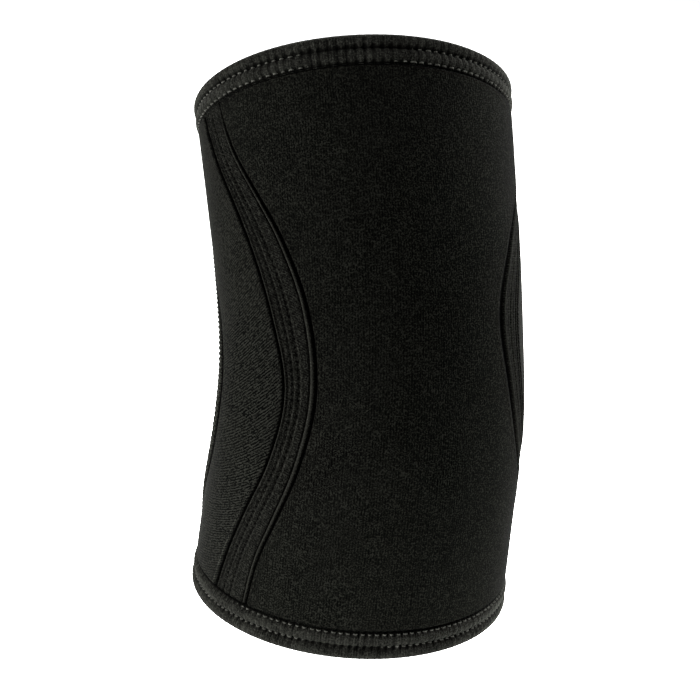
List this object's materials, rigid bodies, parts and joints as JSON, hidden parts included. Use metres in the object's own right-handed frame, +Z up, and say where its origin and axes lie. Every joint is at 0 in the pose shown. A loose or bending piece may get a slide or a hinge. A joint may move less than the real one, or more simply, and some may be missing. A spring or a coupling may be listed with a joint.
{
  "type": "elbow sleeve",
  "caption": "Bent tubular elbow sleeve of thick neoprene: broad front panel, curved seam strips, side panels, crook panel and folded stitched hems.",
  "frame": {"origin": "on the surface the sleeve stands on, under the middle of its box", "axes": "+Z up, -Y towards the point of the elbow, +X to the right as seen from the front"},
  "size_m": [0.1048, 0.1376, 0.179],
  "materials": {
    "front_knit": "near-black fleecy knit face on neoprene",
    "seam_strip": "near-black smooth knit with a corded edge and faint stitch rows",
    "side_rib": "near-black fine ribbed knit face on neoprene",
    "crook_rib": "near-black fine ribbed knit face on neoprene",
    "hem_binding": "near-black stretch binding, puckered by its stitches"
  },
  "bodies": {
    "root": {"front_panel": "front_knit", "seam_strip_left": "seam_strip", "seam_strip_right": "seam_strip", "side_panel_left": "side_rib", "side_panel_right": "side_rib", "crook_panel": "crook_rib", "lower_hem": "hem_binding", "upper_hem": "hem_binding"}
  },
  "joints": []
}
